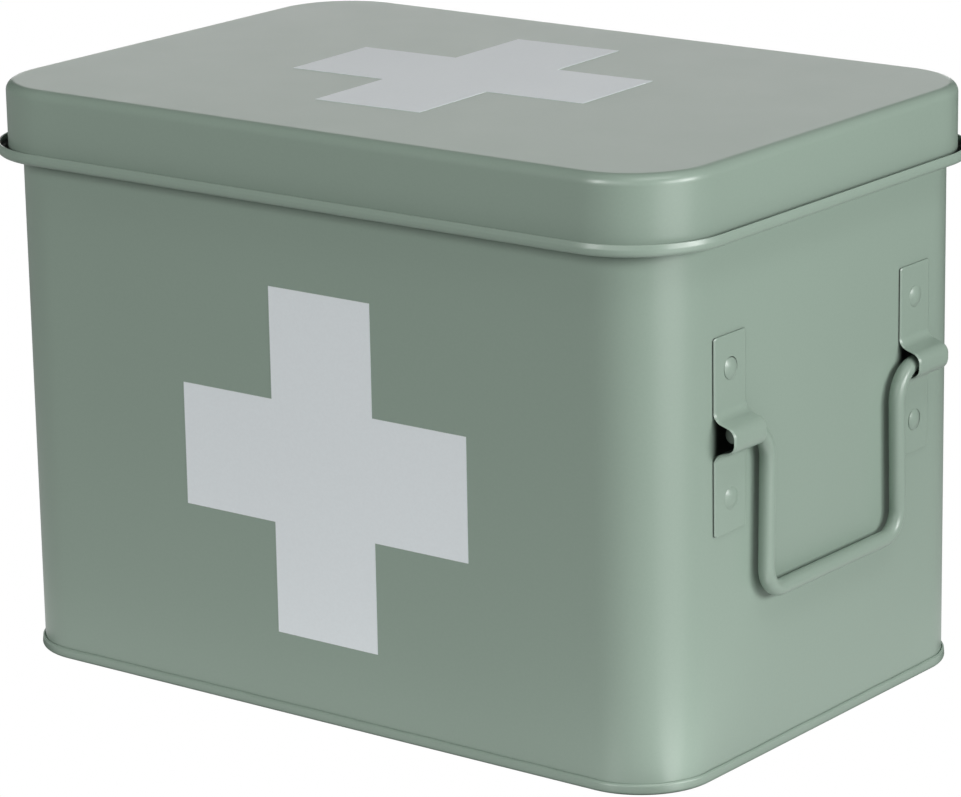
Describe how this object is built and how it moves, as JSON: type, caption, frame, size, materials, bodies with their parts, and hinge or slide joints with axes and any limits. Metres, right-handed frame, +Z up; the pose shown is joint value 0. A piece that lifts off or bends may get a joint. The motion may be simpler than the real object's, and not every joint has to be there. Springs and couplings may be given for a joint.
{
  "type": "first aid tin",
  "caption": "Rectangular painted steel first-aid tin with rounded corners, a lift-off curled-edge lid, printed crosses and a hanging bail handle on each end.",
  "frame": {"origin": "under the middle of the body, on the surface that the tin stands on", "axes": "+Z up, +X towards the right-hand end seen from the front, +Y towards the back"},
  "size_m": [0.216, 0.148, 0.1481],
  "materials": {
    "body_paint": "satin sage-green stoved enamel",
    "lid_paint": "satin sage-green stoved enamel",
    "fitting_paint": "satin sage-green stoved enamel",
    "cross_print": "pale satin printed enamel"
  },
  "bodies": {
    "body": {"body_wall": "body_paint", "base_pan": "body_paint", "front_cross_print": "cross_print", "right_front_strap": "fitting_paint", "right_front_upper_rivet": "fitting_paint", "right_front_lower_rivet": "fitting_paint", "right_rear_strap": "fitting_paint", "right_rear_upper_rivet": "fitting_paint", "right_rear_lower_rivet": "fitting_paint", "left_front_strap": "fitting_paint", "left_front_upper_rivet": "fitting_paint", "left_front_lower_rivet": "fitting_paint", "left_rear_strap": "fitting_paint", "left_rear_upper_rivet": "fitting_paint", "left_rear_lower_rivet": "fitting_paint"},
    "lid": {"lid": "lid_paint", "lid_cross_print": "cross_print"},
    "right_handle": {"right_handle": "fitting_paint"},
    "left_handle": {"left_handle": "fitting_paint"}
  },
  "joints": [
    {"name": "lid_lift", "type": "slide", "parent": "body", "child": "lid", "axis": [0, 0, 1], "range_m": [0, 0.2]},
    {"name": "right_handle_swing", "type": "hinge", "parent": "body", "child": "right_handle", "pos_m": [0.10445, 0, 0.0827], "axis": [0, -1, 0], "range_deg": [0, 178]},
    {"name": "left_handle_swing", "type": "hinge", "parent": "body", "child": "left_handle", "pos_m": [-0.10445, 0, 0.0827], "axis": [0, 1, 0], "range_deg": [0, 178]}
  ]
}
